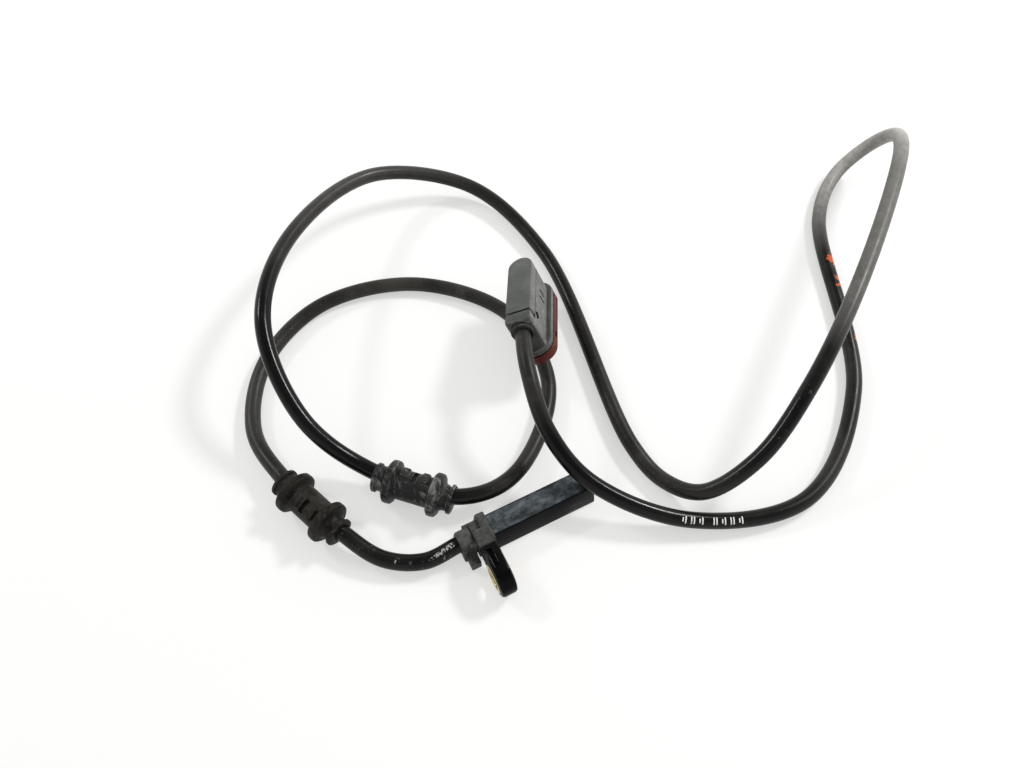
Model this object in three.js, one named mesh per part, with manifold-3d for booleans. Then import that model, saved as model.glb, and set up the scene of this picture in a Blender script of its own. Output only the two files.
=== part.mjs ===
// Wheel speed sensor with its cable: moulded head with a bolted side lug, two rubber
// grommets on the cable, and a two-pin right-angle connector. Millimetres, +Z up.
// The head lies on its flat base along +X, cable end to nose. The origin is under the
// middle of the head, and the cable lies around it.
import * as THREE from 'three';
import { mergeVertices } from 'three/addons/utils/BufferGeometryUtils.js';
import Module from 'manifold-3d';

const wasm = await Module();
wasm.setup();

// Driving dimensions

const clearance = 0.3;
const cutMargin = 1;

// Cable
const cableRadius = 2.6;
const cableSides = 10;
const cableSteps = 80;
const coreRadius = 0.7;
const strandRadius = 0.35;
const coreSpread = 1.1;

// Head body: a bar that narrows towards its top
const bodyLength = 35.2;
const bodyHeight = 9;
const bodyBaseHalf = 5.4;
const bodyTopHalf = 3.5;
const bodyEdge = 0.7;

// Collar round the rear of the body
const collarFront = 0.6;
const collarThickness = 3;
const collarEdge = 0.4;
const collarProud = 1.1;

// Side lug and its bush
const lugThickness = 5.3;
const lugHalf = 6.3;
const lugReach = 14.6;
const lugEdge = 1;
const lugShoulder = 4.4;
const lugShoulderRise = 3.1;
const bushBore = 3.2;
const bushOuter = 4.8;
const bushProud = 0.15;
const lugPocketLength = 5.8;
const lugPocketWidth = 1.6;
const lugPocketDepth = 0.9;
const lugRib = 1.4;

// Rear neck, moulded round the cable
const neckRear = 10;
const neckHeight = 8.6;
const neckBaseHalf = 4.9;
const neckTopHalf = 2.7;
const neckEdge = 0.8;
const neckFootLength = 3.3;
const neckFootHeight = 3.4;
const neckFootReach = 3;

// Hollow inside the head
const mouthHalf = 4;
const mouthFloor = 0.9;
const mouthTop = 8.5;
const mouthDepth = 4.6;
const pocketHalf = 2.6;
const pocketFloor = 1.8;
const pocketTop = 7.4;
const noseWall = 2;

// Sensing pieces
const crimpStart = 6.6;
const crimpLength = 4.2;
const crimpWall = 0.3;
const carrierStart = 11.4;
const carrierBase = 1.1;
const carrierRailHeight = 3.2;
const carrierRail = 0.7;
const carrierNose = 1;
const magnetLength = 5;
const magnetHeight = 1.4;
const chipThickness = 1.4;
const chipHeight = 2.4;
const chipHalf = 1.3;
const leadHalf = 0.25;
const leadHeight = 5.3;

// Grommets: a spool with two flanges and a lip at each end
const spoolHalfLength = 13;
const spoolRadius = 4.9;
const flangeRadius = 7;
const flangeCentre = 7.3;
const flangeHalf = 1.5;
const spoolNeckRadius = 4.1;
const lipRadius = 4.7;
const lipWidth = 1.1;
const spoolSlotLength = 1.5;
const spoolSlotWidth = 4.6;
const spoolSlotDepth = 1.3;
const spoolPadLength = 2.8;
const spoolPadWidth = 4.4;
const spoolPadHeight = 0.6;
const spoolFillet = 1;

// Connector, in its own frame: the cable runs in along +X and it plugs in along -Z
const plugLength = 32;
const plugHalf = 4.5;
const plugBack = 4.8;
const plugDepth = 20;
const plugEdge = 0.6;
const plugBlockLength = 4.3;
const plugSeam = 0.6;
const plugSplit = 0.6;
const plugWall = 1.3;
const plugChamberFloor = 2.9;
const plugChamberEnd = 3.5;
const plugWebThickness = 1.1;
const flangeBand = 2.4;
const flangeOverhang = 1.7;
const collarHeight = 3.5;
const collarWall = 1.2;
const socketWall = 1.2;
const sealWall = 0.7;
const sealStickOut = 1.4;
const sealLength = 5.4;
const pinSpacing = 8.6;
const pinFirst = 13.4;
const pinHalfWidth = 0.7;
const pinHalfThickness = 0.4;
const pinTipInset = 2.4;
const plugCoreRise = 0.6;
const gripLength = 3;
const lockThickness = 2.3;
const innerSealHeight = 1.7;
const innerSealWall = 0.9;
const windowDepth = 0.8;
const latchSlotWidth = 0.9;
const latchSlotTop = -2.6;
const latchSlotBottom = -6.4;
const latchSlotPlaces = [17.6, 20.8];
const diamondPlace = 6.9;
const diamondHeight = -1.2;
const diamondHalf = 1.7;
const keywayStart = 8;
const keywayWidth = 2.4;
const keywayHeight = 1.4;
const jacketInPlug = 7;

// How the connector leans against the cable under it, in degrees
const plugLean = -25;
const plugDip = 12;

// Cable route, from inside the head to inside the connector, chosen by hand
const route = [
  [-13.6, 7.2, 4.7], [-22.6, 7.2, 4.7], [-33.6, 7.4, 3.8], [-44.7, 13.6, 4.3], [-53, 26.6, 6.6],
  [-62.8, 50.2, 6.6], [-66.5, 74.4, 3.4], [-54.3, 98.8, 2.9], [-28.5, 112.5, 2.9], [5.2, 105.7, 2.9],
  [29.8, 78.4, 2.9], [29.1, 45.3, 3], [3.7, 20.1, 5.3], [-15.3, 19.6, 7.7], [-38.2, 41.9, 7.7],
  [-50.2, 61.5, 19], [-49.5, 93.5, 30], [-28.8, 126.5, 28], [9.5, 150.5, 17], [43, 138.7, 6.3],
  [54.9, 98.1, 3.2], [42.4, 12.6, 3.3], [45.1, -3.1, 3.5], [52, -12.9, 8], [69, -13.8, 17.5],
  [91.6, -4, 29], [133, 22.9, 36], [183.2, 62.3, 33], [193.3, 74.3, 22.5], [191.1, 79.9, 12],
  [180, 79, 4.4], [159.7, 63.5, 3], [121.6, -3.6, 3], [82.3, -28.5, 3], [44.8, -18.1, 4.8],
  [21.4, 3.9, 12.7], [15.8, 22, 20], [18.4, 40.9, 26.4], [24.1, 55.6, 25.3], [27.4, 61.5, 23.9],
];
const innerGrommetSpan = 4;
const outerGrommetSpan = 13;

// Materials

function finish(color, roughness, metalness = 0) {
  return new THREE.MeshStandardMaterial({ color, roughness, metalness });
}

const materials = {
  headPlastic: finish(0x1b1c1e, 0.42),
  neckPlastic: finish(0x2a2a2a, 0.6),
  bushSteel: finish(0xc2b98f, 0.35, 1),
  jacket: finish(0x161617, 0.35),
  grommetRubber: finish(0x4a4744, 0.75),
  plugPlastic: finish(0x47494a, 0.55),
  collarPlastic: finish(0x8a3a26, 0.5),
  sealRubber: finish(0x2c2c2d, 0.7),
  innerPlastic: finish(0x6b665c, 0.55),
  chipResin: finish(0x101012, 0.5),
  magnet: finish(0x4c4f54, 0.35, 0.9),
  tinned: finish(0xb9b4a4, 0.3, 1),
  coreInsulation: finish(0x8c5a34, 0.5),
};

// Helpers

function solidOf(geometry) {
  const bare = geometry.clone();
  bare.deleteAttribute('normal');
  bare.deleteAttribute('uv');
  const merged = mergeVertices(bare, 1e-4);
  const vertProperties = new Float32Array(merged.attributes.position.array);
  const triVerts = new Uint32Array(merged.index.array);
  return new wasm.Manifold(new wasm.Mesh({ numProp: 3, vertProperties, triVerts }));
}

function geometryOf(solid) {
  const mesh = solid.getMesh();
  const geometry = new THREE.BufferGeometry();
  geometry.setAttribute('position', new THREE.BufferAttribute(new Float32Array(mesh.vertProperties), 3));
  geometry.setIndex(new THREE.BufferAttribute(new Uint32Array(mesh.triVerts), 1));
  geometry.computeVertexNormals();
  return geometry;
}

function join(...geometries) {
  const solids = geometries.map(solidOf);
  return solids.reduce((total, solid) => total.add(solid));
}

function cut(solid, ...geometries) {
  return geometries.reduce((total, geometry) => total.subtract(solidOf(geometry)), solid);
}

// A prism over an outline in X and Y, from one height to another, with rounded rims
function prism(outline, from, to, edge = 0, curveSegments = 8) {
  const settings = { depth: to - from - 2 * edge, curveSegments, bevelEnabled: edge > 0 };
  Object.assign(settings, { bevelThickness: edge, bevelSize: edge, bevelOffset: -edge, bevelSegments: 2 });
  return new THREE.ExtrudeGeometry(outline, settings).translate(0, 0, from + edge);
}

// The same, with the outline in Y and Z and the length along X
function bar(outline, from, to, edge = 0, curveSegments = 8) {
  const turn = new THREE.Matrix4().makeBasis(
    new THREE.Vector3(0, 1, 0), new THREE.Vector3(0, 0, 1), new THREE.Vector3(1, 0, 0),
  );
  return prism(outline, from, to, edge, curveSegments).applyMatrix4(turn);
}

// A body turned about X from a closed profile of [x, radius] points, outer side from low X to high
function turned(profile, segments = 32) {
  const points = [...profile, profile[0]].map(([x, radius]) => new THREE.Vector2(radius, x));
  return new THREE.LatheGeometry(points, segments).rotateZ(-Math.PI / 2);
}

function rod(from, to, radius, segments = 16) {
  return turned([[from, 0], [from, radius], [to, radius], [to, 0]], segments);
}

function roundedOutline(corners, radius) {
  const shape = new THREE.Shape();
  corners.forEach(([x, y], index) => {
    const corner = new THREE.Vector2(x, y);
    const before = new THREE.Vector2(...corners.at(index - 1)).sub(corner).setLength(radius).add(corner);
    const after = new THREE.Vector2(...corners[(index + 1) % corners.length]);
    after.sub(corner).setLength(radius).add(corner);
    if (index === 0) shape.moveTo(before.x, before.y);
    else shape.lineTo(before.x, before.y);
    shape.quadraticCurveTo(corner.x, corner.y, after.x, after.y);
  });
  shape.closePath();
  return shape;
}

function rectangle(x0, y0, x1, y1) {
  const corners = [[x0, y0], [x1, y0], [x1, y1], [x0, y1]];
  return new THREE.Shape(corners.map(([x, y]) => new THREE.Vector2(x, y)));
}

// A slot-shaped outline with two round ends
function stadium(x0, x1, half) {
  const shape = new THREE.Shape();
  shape.absarc(x1 - half, 0, half, -Math.PI / 2, Math.PI / 2);
  shape.absarc(x0 + half, 0, half, Math.PI / 2, 1.5 * Math.PI);
  shape.closePath();
  return shape;
}

// A bar's section, wide at the base and narrow at the top, standing on the floor
function taperedSection(baseHalf, topHalf, height, radius) {
  const corners = [[-baseHalf, 0], [baseHalf, 0], [topHalf, height], [-topHalf, height]];
  return roundedOutline(corners, radius);
}

// Cable

const cablePath = new THREE.CatmullRomCurve3(
  route.map((point) => new THREE.Vector3(...point)), false, 'centripetal',
);

function cableTube(radius) {
  const corners = Array.from({ length: cableSides }, (_, index) => {
    const angle = (index * 2 * Math.PI) / cableSides;
    return new THREE.Vector2(radius * Math.cos(angle), radius * Math.sin(angle));
  });
  const settings = { steps: cableSteps, extrudePath: cablePath, bevelEnabled: false };
  return new THREE.ExtrudeGeometry(new THREE.Shape(corners), settings);
}

// The room a piece on the cable leaves for it, in that piece's own frame
function cableRoom(group) {
  group.updateMatrixWorld(true);
  return cableTube(cableRadius + clearance).applyMatrix4(group.matrixWorld.clone().invert());
}

function addPiece(group, name, shape, material) {
  const geometry = shape.isBufferGeometry ? shape : geometryOf(shape);
  const mesh = new THREE.Mesh(geometry, material);
  mesh.name = name;
  group.add(mesh);
  return mesh;
}

// A stripped wire: insulation, then the bare strands that its sleeve grips
function strippedCore(from, stripAt, to, y, z) {
  const profile = [
    [from, 0], [from, coreRadius], [stripAt, coreRadius],
    [stripAt, strandRadius], [to, strandRadius], [to, 0],
  ];
  return turned(profile, 12).translate(0, y, z);
}

function sleeve(from, to, y, z) {
  const inner = strandRadius + clearance;
  const outer = inner + crimpWall;
  const profile = [[from, inner], [from, outer], [to, outer], [to, inner]];
  return turned(profile, 14).translate(0, y, z);
}

// Head

// Head pieces share a frame with the cable axis at Y = 0 and the lug's seat at X = 0,
// and the head sits where the route leaves it
const head = new THREE.Group();
const [cableExitX, cableExitY] = route[1];
head.position.set(cableExitX + neckRear, cableExitY, 0);

function lugOutline() {
  const top = 2 * lugHalf;
  const shape = new THREE.Shape();
  shape.moveTo(0, 0);
  shape.absarc(-lugReach, lugHalf, lugHalf, 1.5 * Math.PI, 0.5 * Math.PI, true);
  shape.lineTo(-lugShoulder - lugShoulderRise, top);
  shape.lineTo(-lugShoulder, bodyHeight + collarProud);
  shape.lineTo(0, bodyHeight + collarProud);
  shape.closePath();
  return shape;
}

function bushHole(radius) {
  return rod(-lugThickness - cutMargin, cutMargin, radius, 36).translate(0, -lugReach, lugHalf);
}

function makeHousing() {
  const body = bar(
    taperedSection(bodyBaseHalf, bodyTopHalf, bodyHeight, bodyEdge),
    -lugThickness, bodyLength, bodyEdge / 2, 3,
  );
  const collar = bar(
    taperedSection(bodyBaseHalf + collarProud, bodyTopHalf + collarProud, bodyHeight + collarProud, bodyEdge),
    collarFront - collarThickness, collarFront, collarEdge, 3,
  );
  const lug = bar(lugOutline(), -lugThickness, 0, lugEdge, 14);
  const rear = -lugThickness - cutMargin;
  const mouth = bar(rectangle(-mouthHalf, mouthFloor, mouthHalf, mouthTop), rear, mouthDepth - lugThickness);
  const pocket = bar(
    rectangle(-pocketHalf, pocketFloor, pocketHalf, pocketTop), rear, bodyLength - noseWall,
  );
  const pocketStart = -lugShoulder - lugShoulderRise;
  const ribRear = -lugEdge - lugRib;
  const lugPocket = prism(
    rectangle(ribRear - lugPocketWidth, pocketStart - lugPocketLength, ribRear, pocketStart),
    2 * lugHalf - lugPocketDepth, 2 * lugHalf + cutMargin,
  );
  return cut(join(body, collar, lug), mouth, pocket, bushHole(bushOuter + clearance), lugPocket);
}

function makeBush() {
  const rear = -lugThickness - bushProud;
  const profile = [
    [rear, bushBore + 0.2], [rear, bushOuter - 0.2], [rear + 0.2, bushOuter],
    [bushProud - 0.2, bushOuter], [bushProud, bushOuter - 0.2], [bushProud, bushBore + 0.2],
    [bushProud - 0.2, bushBore], [rear + 0.2, bushBore],
  ];
  return turned(profile, 36).translate(0, -lugReach, lugHalf);
}

function makeNeck() {
  const rear = -neckRear;
  const seat = -lugThickness - clearance;
  const section = taperedSection(neckBaseHalf, neckTopHalf, neckHeight, neckEdge);
  const outer = bar(section, rear, seat, neckEdge / 2, 3);
  const plug = bar(
    rectangle(
      -mouthHalf + clearance, mouthFloor + clearance,
      mouthHalf - clearance, mouthTop - clearance,
    ),
    seat - neckEdge * 2, mouthDepth - lugThickness - clearance,
  );
  const footStart = rear + neckEdge;
  const foot = bar(
    rectangle(-neckBaseHalf - neckFootReach, 0, -neckTopHalf, neckFootHeight),
    footStart, footStart + neckFootLength, 0.3,
  );
  return cut(join(outer, plug, foot), cableRoom(head));
}

function makeCarrier() {
  const half = pocketHalf - clearance;
  const floor = pocketFloor + clearance;
  const end = bodyLength - noseWall - clearance;
  const block = bar(rectangle(-half, floor, half, floor + carrierRailHeight), carrierStart, end);
  const trough = bar(
    rectangle(
      -half + carrierRail, floor + carrierBase,
      half - carrierRail, floor + carrierRailHeight + 1,
    ),
    carrierStart - 1, end - carrierNose,
  );
  return cut(join(block), trough);
}

function addHead() {
  const jacketEnd = mouthDepth - lugThickness - clearance;
  const sleeveEnd = crimpStart + crimpLength;
  const carrierEnd = bodyLength - noseWall - clearance;
  const troughFloor = pocketFloor + clearance + carrierBase + clearance;
  const chipFront = carrierEnd - carrierNose - clearance;
  const chipBack = chipFront - chipThickness;
  const magnetFront = chipBack - clearance;
  addPiece(head, 'sensor_housing', makeHousing(), materials.headPlastic);
  addPiece(head, 'mounting_bush', makeBush(), materials.bushSteel);
  addPiece(head, 'rear_overmould', makeNeck(), materials.neckPlastic);
  addPiece(head, 'element_carrier', makeCarrier(), materials.innerPlastic);
  const magnetSection = rectangle(-chipHalf, troughFloor, chipHalf, troughFloor + magnetHeight);
  const magnet = bar(magnetSection, magnetFront - magnetLength, magnetFront);
  addPiece(head, 'bias_magnet', magnet, materials.magnet);
  const chipSection = rectangle(-chipHalf, troughFloor, chipHalf, troughFloor + chipHeight);
  addPiece(head, 'sensor_chip', bar(chipSection, chipBack, chipFront), materials.chipResin);
  for (const [side, y] of [['a', coreSpread], ['b', -coreSpread]]) {
    const stripAt = crimpStart - clearance;
    const strandEnd = crimpStart + crimpLength / 2 - clearance;
    addPiece(
      head, `head_core_${side}`,
      strippedCore(jacketEnd + clearance, stripAt, strandEnd, y, leadHeight), materials.coreInsulation,
    );
    addPiece(head, `crimp_sleeve_${side}`, sleeve(crimpStart, sleeveEnd, y, leadHeight), materials.tinned);
    const leadSection = rectangle(y - leadHalf, leadHeight - leadHalf, y + leadHalf, leadHeight + leadHalf);
    const lead = bar(leadSection, strandEnd + clearance, chipBack - clearance);
    addPiece(head, `chip_lead_${side}`, lead, materials.tinned);
  }
}

// Grommets

// Half of the spool's profile, from its middle out to its end
function spoolHalfProfile() {
  const inner = flangeCentre - flangeHalf;
  const outer = flangeCentre + flangeHalf;
  const rim = flangeRadius - 0.7;
  return [
    [inner - 0.7, spoolRadius], [inner, spoolRadius + spoolFillet], [inner, rim],
    [inner + 0.5, flangeRadius - 0.1], [flangeCentre, flangeRadius],
    [outer - 0.5, flangeRadius - 0.1], [outer, rim], [outer, spoolRadius + 0.5],
    [outer + 0.8, spoolNeckRadius + 0.3], [outer + 1.6, spoolNeckRadius],
    [spoolHalfLength - lipWidth - 0.2, spoolNeckRadius], [spoolHalfLength - lipWidth, lipRadius],
    [spoolHalfLength - 0.2, lipRadius], [spoolHalfLength, lipRadius - 0.3],
  ];
}

function makeSpool(group) {
  const half = spoolHalfProfile();
  const otherHalf = half.map(([x, radius]) => [-x, radius]).reverse();
  const profile = [[-spoolHalfLength, 0], ...otherHalf, ...half, [spoolHalfLength, 0]];
  const spool = turned(profile, 30);
  const padTop = spoolRadius + spoolPadHeight;
  const pads = [-1, 1].map((end) => {
    const centre = (end * (flangeCentre - flangeHalf + spoolSlotLength / 2)) / 2;
    const outline = roundedOutline([
      [centre - spoolPadLength / 2, -spoolPadWidth / 2], [centre + spoolPadLength / 2, -spoolPadWidth / 2],
      [centre + spoolPadLength / 2, spoolPadWidth / 2], [centre - spoolPadLength / 2, spoolPadWidth / 2],
    ], 0.8);
    return prism(outline, 0, padTop, 0.3, 3);
  });
  const slot = prism(
    rectangle(-spoolSlotLength / 2, -spoolSlotWidth / 2, spoolSlotLength / 2, spoolSlotWidth / 2),
    spoolRadius - spoolSlotDepth, padTop + cutMargin,
  );
  return cut(join(spool, ...pads), slot, cableRoom(group));
}

// A grommet sits half way along one span of the route, in line with it
function addGrommet(name, span, roll) {
  const from = new THREE.Vector3(...route[span]);
  const to = new THREE.Vector3(...route[span + 1]);
  const group = new THREE.Group();
  group.position.copy(cablePath.getPoint((span + 0.5) / (route.length - 1)));
  const along = to.sub(from).normalize();
  const side = new THREE.Vector3(0, 0, 1).cross(along).normalize();
  const up = along.clone().cross(side);
  group.quaternion.setFromRotationMatrix(new THREE.Matrix4().makeBasis(along, side, up));
  group.rotateX(roll);
  addPiece(group, name, makeSpool(group), materials.grommetRubber);
  return group;
}

// Connector

const mouthLevel = plugBack - plugDepth;
const collarBase = mouthLevel + collarHeight;
const flangeFace = collarBase + clearance;
const flangeBack = flangeFace + flangeBand;
const chamberHalf = plugHalf - plugWall;
const chamberEnd = plugLength - plugChamberEnd;
const webBottom = -plugChamberFloor - plugWebThickness;
const collarHalf = plugHalf + flangeOverhang;
const sleeveInner = collarHalf - collarWall;
const socketHalf = sleeveInner - clearance;
const cavityHalf = socketHalf - socketWall;
const coverStart = plugBlockLength + plugSeam;

// Round-ended outlines that share the plug's length and step in by their width
function plugOval(half) {
  const overhang = half - plugHalf;
  return stadium(-overhang, plugLength + overhang, half);
}

// The arch of the plug's back: square at the cable end and round at the other
function archOutline(start) {
  const shape = new THREE.Shape();
  const radius = 2 * plugEdge;
  shape.moveTo(start + radius, -plugHalf);
  shape.absarc(plugLength - plugHalf, 0, plugHalf, -Math.PI / 2, Math.PI / 2);
  shape.lineTo(start + radius, plugHalf);
  shape.quadraticCurveTo(start, plugHalf, start, plugHalf - radius);
  shape.lineTo(start, -plugHalf + radius);
  shape.quadraticCurveTo(start, -plugHalf, start + radius, -plugHalf);
  return shape;
}

function pinPlace(index) {
  return pinFirst + index * pinSpacing;
}

function pinHole(index) {
  const half = pinHalfThickness + clearance;
  const width = pinHalfWidth + clearance;
  return rectangle(pinPlace(index) - half, -width, pinPlace(index) + half, width);
}

// Latch slots and a square window stood on its corner, let into both sides
function sideWindows() {
  const slots = latchSlotPlaces.map((x) => (
    rectangle(x, latchSlotBottom, x + latchSlotWidth, latchSlotTop)
  ));
  const diamond = new THREE.Shape([
    new THREE.Vector2(diamondPlace - diamondHalf, diamondHeight),
    new THREE.Vector2(diamondPlace, diamondHeight - diamondHalf),
    new THREE.Vector2(diamondPlace + diamondHalf, diamondHeight),
    new THREE.Vector2(diamondPlace, diamondHeight + diamondHalf),
  ]);
  return [...slots, diamond].flatMap((outline) => [-1, 1].map((side) => {
    const outerFace = side * (plugHalf + cutMargin);
    const innerFace = side * (plugHalf - windowDepth);
    const [from, to] = [outerFace, innerFace].sort((a, b) => a - b);
    return prism(outline, -to, -from).rotateX(Math.PI / 2);
  }));
}

function makePlugHousing() {
  const lower = prism(archOutline(0), flangeFace, plugSplit, 0, 10);
  const block = prism(
    roundedOutline([
      [0, -plugHalf], [plugBlockLength, -plugHalf], [plugBlockLength, plugHalf], [0, plugHalf],
    ], 2 * plugEdge),
    flangeFace, plugBack, plugEdge, 3,
  );
  const flange = prism(plugOval(collarHalf), flangeFace, flangeBack, 0.8, 12);
  const socket = prism(plugOval(socketHalf), mouthLevel, flangeFace + 1, 0, 12);
  const cavity = prism(plugOval(cavityHalf), mouthLevel - cutMargin, webBottom, 0, 10);
  const chamber = prism(
    rectangle(coverStart + clearance, -chamberHalf, chamberEnd, chamberHalf), -plugChamberFloor, plugBack,
  );
  const bore = rod(-cutMargin, coverStart + cutMargin, cableRadius + 2 * clearance + sealWall, 24);
  const pinHoles = [0, 1].map((index) => prism(pinHole(index), webBottom - cutMargin, 0));
  return cut(join(lower, block, flange, socket), cavity, chamber, bore, ...pinHoles, ...sideWindows());
}

function makePlugCover() {
  const shell = prism(archOutline(coverStart), plugSplit + clearance, plugBack, plugEdge, 10);
  const skirt = prism(archOutline(coverStart), plugSplit + clearance, plugBack - 2 * plugEdge, 0, 10);
  const hollow = prism(
    rectangle(coverStart + plugWall, -chamberHalf, chamberEnd, chamberHalf), -cutMargin, plugBack - plugWall,
  );
  const holeRadius = cableRadius + 2 * clearance;
  const cableHole = rod(coverStart - cutMargin, coverStart + plugWall + cutMargin, holeRadius, 20);
  return cut(join(shell, skirt), hollow, cableHole);
}

function makeCodingCollar() {
  const ring = prism(plugOval(collarHalf), mouthLevel, collarBase, 0.5, 12);
  const hole = prism(plugOval(sleeveInner), mouthLevel - cutMargin, collarBase + cutMargin, 0, 12);
  const keyway = prism(
    rectangle(keywayStart, -collarHalf - 1, keywayStart + keywayWidth, -sleeveInner + 0.2),
    mouthLevel + 1, mouthLevel + 1 + keywayHeight,
  );
  return cut(join(ring), hole, keyway);
}

function makeCableSeal(group) {
  const outer = cableRadius + clearance + sealWall;
  const collar = outer + clearance;
  const profile = [
    [-sealStickOut, 0], [-sealStickOut, collar - 0.3], [-sealStickOut + 0.3, collar], [-clearance, collar],
    [-clearance, outer], [sealLength - sealStickOut, outer], [sealLength - sealStickOut, 0],
  ];
  return cut(join(turned(profile, 24)), cableRoom(group));
}

function makeLock() {
  const top = webBottom - clearance;
  const plate = prism(plugOval(cavityHalf - clearance), top - lockThickness, top, 0.3, 10);
  const bottom = top - lockThickness;
  const slots = [0, 1].map((index) => prism(pinHole(index), bottom - cutMargin, top + cutMargin));
  return cut(join(plate), ...slots);
}

function makeInnerSeal() {
  const top = webBottom - 2 * clearance - lockThickness;
  const bottom = top - innerSealHeight;
  const outer = cavityHalf - clearance;
  const ring = prism(plugOval(outer), bottom, top, 0.4, 10);
  const hole = prism(plugOval(outer - innerSealWall), bottom - cutMargin, top + cutMargin, 0, 10);
  return cut(join(ring), hole);
}

function gripEnd(index) {
  return pinPlace(index) - pinHalfThickness - 0.5;
}

// A terminal: the sleeve that grips one wire, a tongue, and the pin in the socket
function makeTerminal(index, y) {
  const place = pinPlace(index);
  const sleeveEnd = gripEnd(index);
  const grip = sleeve(sleeveEnd - gripLength, sleeveEnd, y, plugCoreRise);
  const gripRadius = strandRadius + clearance + crimpWall;
  const inside = Math.sign(y) * (coreSpread - gripRadius + 0.2);
  const [near, far] = [inside, y + Math.sign(y) * 0.4].sort((a, b) => a - b);
  const tongue = prism(
    rectangle(sleeveEnd - 0.2, near, place + pinHalfThickness, far), -1.2, plugCoreRise + gripRadius - 0.2,
  );
  const tip = mouthLevel + pinTipInset;
  const pin = prism(
    rectangle(place - pinHalfThickness, -pinHalfWidth, place + pinHalfThickness, pinHalfWidth),
    tip, -plugCoreRise, 0.25, 1,
  );
  return join(grip, tongue, pin);
}

function addConnector() {
  const entry = new THREE.Vector3(...route.at(-2));
  const inner = new THREE.Vector3(...route.at(-1));
  const heading = Math.atan2(inner.y - entry.y, inner.x - entry.x);
  const group = new THREE.Group();
  group.position.copy(entry);
  group.rotation.order = 'ZYX';
  group.rotation.set(THREE.MathUtils.degToRad(plugLean), THREE.MathUtils.degToRad(plugDip), heading);
  addPiece(group, 'connector_housing', makePlugHousing(), materials.plugPlastic);
  addPiece(group, 'connector_cover', makePlugCover(), materials.plugPlastic);
  addPiece(group, 'coding_collar', makeCodingCollar(), materials.collarPlastic);
  addPiece(group, 'cable_seal', makeCableSeal(group), materials.sealRubber);
  addPiece(group, 'terminal_lock', makeLock(), materials.innerPlastic);
  addPiece(group, 'interface_seal', makeInnerSeal(), materials.sealRubber);
  for (const [index, side, y] of [[0, 'a', coreSpread], [1, 'b', -coreSpread]]) {
    addPiece(group, `terminal_${side}`, makeTerminal(index, y), materials.tinned);
    const stripAt = gripEnd(index) - gripLength - clearance;
    const strandEnd = gripEnd(index) - 0.2 - clearance;
    const core = strippedCore(jacketInPlug + clearance, stripAt, strandEnd, y, plugCoreRise);
    addPiece(group, `plug_core_${side}`, core, materials.coreInsulation);
  }
  return group;
}

// Assembly

const sensor = new THREE.Group();
sensor.name = 'wheel_speed_sensor';
addHead();
sensor.add(head);
addPiece(sensor, 'cable_jacket', cableTube(cableRadius), materials.jacket);
sensor.add(addGrommet('inner_grommet', innerGrommetSpan, -0.4));
sensor.add(addGrommet('outer_grommet', outerGrommetSpan, 0.5));
sensor.add(addConnector());

export default sensor;
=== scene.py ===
"""Wheel speed sensor with its cable: the looks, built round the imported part. Metres, +Z up."""

import math

import bpy
import numpy as np
from mathutils import Matrix, Vector


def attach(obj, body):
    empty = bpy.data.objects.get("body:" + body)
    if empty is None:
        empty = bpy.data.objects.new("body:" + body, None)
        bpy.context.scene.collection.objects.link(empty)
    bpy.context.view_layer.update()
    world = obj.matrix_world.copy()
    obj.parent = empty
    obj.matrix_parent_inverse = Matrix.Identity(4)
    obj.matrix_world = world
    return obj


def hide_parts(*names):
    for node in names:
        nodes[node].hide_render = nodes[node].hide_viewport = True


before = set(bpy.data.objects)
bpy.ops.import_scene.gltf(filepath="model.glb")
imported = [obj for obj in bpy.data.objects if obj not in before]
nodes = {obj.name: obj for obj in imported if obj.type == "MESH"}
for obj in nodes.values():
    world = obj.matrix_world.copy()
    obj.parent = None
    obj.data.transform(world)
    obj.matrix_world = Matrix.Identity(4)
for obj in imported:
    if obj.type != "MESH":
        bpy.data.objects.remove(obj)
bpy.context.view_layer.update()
scene = bpy.context.scene

# Camera

IMAGE_WIDTH = 1024
FOCAL_PIXELS = 755.0
SENSOR_WIDTH = 36.0
CAMERA_PLACE = Vector((-0.0408, -0.06485, 0.2280))
CAMERA_RIGHT = Vector((0.8922, -0.4517, 0.0))
CAMERA_UP = Vector((0.3913, 0.7726, 0.5000))


def make_camera():
    data = bpy.data.cameras.new("camera")
    data.sensor_width = SENSOR_WIDTH
    data.lens = SENSOR_WIDTH * FOCAL_PIXELS / IMAGE_WIDTH
    data.clip_start = 0.005
    data.clip_end = 20.0
    camera = bpy.data.objects.new("camera", data)
    scene.collection.objects.link(camera)
    turned = Matrix((CAMERA_RIGHT, CAMERA_UP, CAMERA_RIGHT.cross(CAMERA_UP))).transposed()
    camera.matrix_world = Matrix.Translation(CAMERA_PLACE) @ turned.to_4x4()
    scene.camera = camera


make_camera()

# Cable route, from inside the head to inside the connector

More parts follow.
